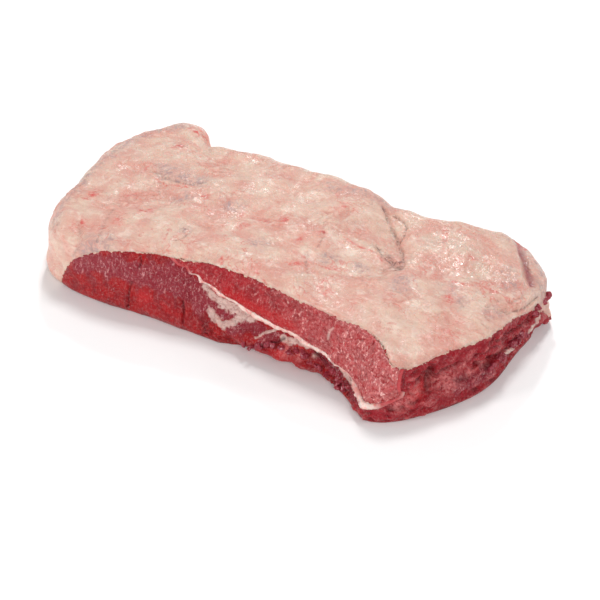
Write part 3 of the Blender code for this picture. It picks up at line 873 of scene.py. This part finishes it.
# Torn bits: the knife left small wet clumps of lean along the ragged lower edge and on the right
# end. Both kinds follow one rule: lumpy grains of uneven size, set at even steps along their
# routes, strayed a little and turned at random.
CLUMPS = {
    "lean_shreds": {
        "routes": [
            [(222, 343), (234, 348), (246, 352), (258, 356), (270, 359)],
            [(246, 344), (262, 347), (278, 347), (292, 352), (306, 357)],
            [(276, 361), (290, 367), (302, 371), (314, 374)],
            [(312, 362), (324, 369), (334, 379), (344, 389)],
        ],
        "step": 3.4, "size": 2.2, "stray": 1.8, "seed": 3,
    },
    "lean_knobs": {
        "routes": [
            [(544, 302), (547, 296)], [(520, 336), (527, 333)], [(511, 345), (516, 341)],
            [(499, 360), (504, 357)], [(490, 368), (495, 364)], [(534, 312), (538, 308)],
        ],
        "step": 2.6, "size": 2.6, "stray": 0.6, "seed": 8,
    },
}
GRAIN_ROUNDS = 4
GRAIN_LEAST = (0.7, 0.5, 0.45)
GRAIN_MOST = (1.6, 1.0, 0.8)
FULL_TURN = 6.28
LUMPS_PER_METRE = 330.0
LUMP_DETAIL = 3.0
LUMP_REACH = 1.8
CLUMP_FLOOR = 0.3 * MM
CLUMP_MASKS = {"border": 1.0, "glow": 0.4, "pale": 0.5}


def grain_tree():
    """Lumpy grains along the curve that comes in, by step, size, stray and seed."""
    tree = bpy.data.node_groups.new("grains_on_routes", "GeometryNodeTree")
    tree.interface.new_socket("Geometry", in_out="INPUT", socket_type="NodeSocketGeometry")
    for name in ("Step", "Size", "Stray"):
        tree.interface.new_socket(name, in_out="INPUT", socket_type="NodeSocketFloat")
    tree.interface.new_socket("Seed", in_out="INPUT", socket_type="NodeSocketInt")
    tree.interface.new_socket("Geometry", in_out="OUTPUT", socket_type="NodeSocketGeometry")
    nodes = tree.nodes
    links = tree.links
    inputs = nodes.new("NodeGroupInput").outputs
    curve = nodes.new("GeometryNodeMeshToCurve")
    links.new(inputs["Geometry"], curve.inputs["Mesh"])
    steps = nodes.new("GeometryNodeResampleCurve")
    steps.mode = "LENGTH"
    links.new(curve.outputs["Curve"], steps.inputs["Curve"])
    links.new(inputs["Step"], steps.inputs["Length"])
    stray = nodes.new("FunctionNodeRandomValue")
    stray.data_type = "FLOAT_VECTOR"
    stray.inputs["Min"].default_value = (-1.0, -1.0, -1.0)
    links.new(inputs["Seed"], stray.inputs["Seed"])
    reach = nodes.new("ShaderNodeVectorMath")
    reach.operation = "SCALE"
    links.new(stray.outputs["Value"], reach.inputs[0])
    links.new(inputs["Stray"], reach.inputs["Scale"])
    spots = nodes.new("GeometryNodeSetPosition")
    links.new(steps.outputs["Curve"], spots.inputs["Geometry"])
    links.new(reach.outputs["Vector"], spots.inputs["Offset"])
    ball = nodes.new("GeometryNodeMeshIcoSphere")
    ball.inputs["Subdivisions"].default_value = GRAIN_ROUNDS
    links.new(inputs["Size"], ball.inputs["Radius"])
    turn = nodes.new("FunctionNodeRandomValue")
    turn.data_type = "FLOAT_VECTOR"
    turn.inputs["Max"].default_value = (FULL_TURN, FULL_TURN, FULL_TURN)
    links.new(inputs["Seed"], turn.inputs["Seed"])
    scale = nodes.new("FunctionNodeRandomValue")
    scale.data_type = "FLOAT_VECTOR"
    scale.inputs["Min"].default_value = GRAIN_LEAST
    scale.inputs["Max"].default_value = GRAIN_MOST
    links.new(inputs["Seed"], scale.inputs["Seed"])
    grains = nodes.new("GeometryNodeInstanceOnPoints")
    links.new(spots.outputs["Geometry"], grains.inputs["Points"])
    links.new(ball.outputs["Mesh"], grains.inputs["Instance"])
    links.new(turn.outputs["Value"], grains.inputs["Rotation"])
    links.new(scale.outputs["Value"], grains.inputs["Scale"])
    real = nodes.new("GeometryNodeRealizeInstances")
    links.new(grains.outputs["Instances"], real.inputs["Geometry"])
    lumps = nodes.new("ShaderNodeTexNoise")
    lumps.inputs["Scale"].default_value = LUMPS_PER_METRE
    lumps.inputs["Detail"].default_value = LUMP_DETAIL
    middle = nodes.new("ShaderNodeVectorMath")
    middle.operation = "SUBTRACT"
    middle.inputs[1].default_value = (0.5, 0.5, 0.5)
    links.new(lumps.outputs["Color"], middle.inputs[0])
    spread = nodes.new("ShaderNodeVectorMath")
    spread.operation = "SCALE"
    links.new(middle.outputs["Vector"], spread.inputs[0])
    wide = nodes.new("ShaderNodeMath")
    wide.operation = "MULTIPLY"
    wide.inputs[1].default_value = LUMP_REACH
    links.new(inputs["Size"], wide.inputs[0])
    links.new(wide.outputs["Value"], spread.inputs["Scale"])
    moved = nodes.new("GeometryNodeSetPosition")
    links.new(real.outputs["Geometry"], moved.inputs["Geometry"])
    links.new(spread.outputs["Vector"], moved.inputs["Offset"])
    smooth = nodes.new("GeometryNodeSetShadeSmooth")
    links.new(moved.outputs["Geometry"], smooth.inputs["Geometry"])
    coated = nodes.new("GeometryNodeSetMaterial")
    coated.inputs["Material"].default_value = bpy.data.materials["lower_lean"]
    links.new(smooth.outputs["Geometry"], coated.inputs["Geometry"])
    outputs = nodes.new("NodeGroupOutput").inputs
    links.new(coated.outputs["Geometry"], outputs["Geometry"])
    return tree


def clump_piece(name, clump):
    routes = bpy.data.meshes.new(name)
    corners = []
    steps = []
    for pixels in clump["routes"]:
        steps += [(len(corners) + at, len(corners) + at + 1) for at in range(len(pixels) - 1)]
        corners += [on_skin(x, y) for x, y in pixels]
    routes.from_pydata(corners, steps, [])

    def settle(holder):
        tree = grain_tree()
        grow = holder.modifiers.new("grains", "NODES")
        grow.node_group = tree
        values = {name.title(): clump[name] * MM for name in ("step", "size", "stray")}
        values["Seed"] = clump["seed"]
        for socket in tree.interface.items_tree:
            if socket.name in values:
                grow[socket.identifier] = values[socket.name]

    mesh = baked(routes, settle)
    places = places_of(mesh)
    places[:, 2] = np.maximum(places[:, 2], CLUMP_FLOOR)
    put_places(mesh, places)
    for layer, share in CLUMP_MASKS.items():
        put_values(mesh, layer, np.full(len(places), share))
    return link(name, mesh)


for clump_name, clump in CLUMPS.items():
    bits = clump_piece(clump_name, clump)
    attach(bits, "root")

# The seam: a thin sheet of white connective tissue between the two muscles. The knife left its
# edge standing, so that it shows as an uneven, slightly pink line between them.
SEAM_CELL = 0.55 * MM
SEAM_SWELL = 0.75 * MM
SEAM_EDGE = (2.2 * MM, 0.6 * MM)
CORNER_HEIGHTS = (21 * MM, 24 * MM)
CORNER_SPAN = (110 * MM, 122 * MM)
SEAM_WIDE = [
    ([(240, 308), (258, 318), (276, 327), (296, 336), (318, 350)], 3.5),
    ([(354, 385), (362, 395), (372, 402)], 3.5),
]
SEAM_BLIND = [
    ([(150, 255), (165, 258), (178, 264), (186, 269)], 6),
    ([(383, 403), (391, 401), (398, 396), (401, 386), (401, 376)], 4.5),
]


def sinew_finish():
    made, nodes, links, shader, place = shader_nodes("white_sinew", 0.35, 0.3, 2 * MM)
    tree = (nodes, links)
    white = paint(233, 208, 198)
    pink = paint(222, 150, 142)
    blood = paint(184, 66, 70)
    colour = over(tree, banded(tree, mottle(tree, place, 5 * MM, 3.0, 0.7), 0.4, 0.68), white, pink)
    stain = banded(tree, mottle(tree, place, 9 * MM, 4.0, 0.5), 0.58, 0.7)
    colour = over(tree, times(tree, stain, 0.7), colour, blood)
    colour = over(tree, mask(tree, "lean"), colour, blood)
    links.new(colour, shader.inputs["Base Color"])
    fine = mottle(tree, place, 1.6 * MM, 3.0)
    raised(tree, shader, fine, 0.8 * MM, mottle(tree, place, 3 * MM, 1.0), 0.8 * MM)
    return made


def seam_piece():
    mesh, normals, _ = fine_piece("seam_membrane", SEAM_CELL)
    places = places_of(mesh)
    shown = smooth_step(gap_to(places, [skin_tree], 4 * MM), *SEAM_EDGE)
    wide = np.max([near_route(places, pixels, half_width * MM) for pixels, half_width in SEAM_WIDE], axis=0)
    uneven = 0.5 * ripple(places, 7 * MM, 4.0) + 0.4 * ripple(places, 2.2 * MM, 8.0)
    swell = SEAM_SWELL * (0.2 + 1.2 * wide + uneven)
    blind = smooth_step(places[:, 2], *CORNER_HEIGHTS) * smooth_step(places[:, 0], *CORNER_SPAN)
    for pixels, half_width in SEAM_BLIND:
        blind = np.maximum(blind, near_route(places, pixels, half_width * MM))
    put_places(mesh, places + normals * (swell * shown * (1 - blind))[:, None])
    return finished("white_seam", mesh, {"lean": blind}, sinew_finish())


seam = seam_piece()
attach(seam, "root")
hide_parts("seam_membrane")
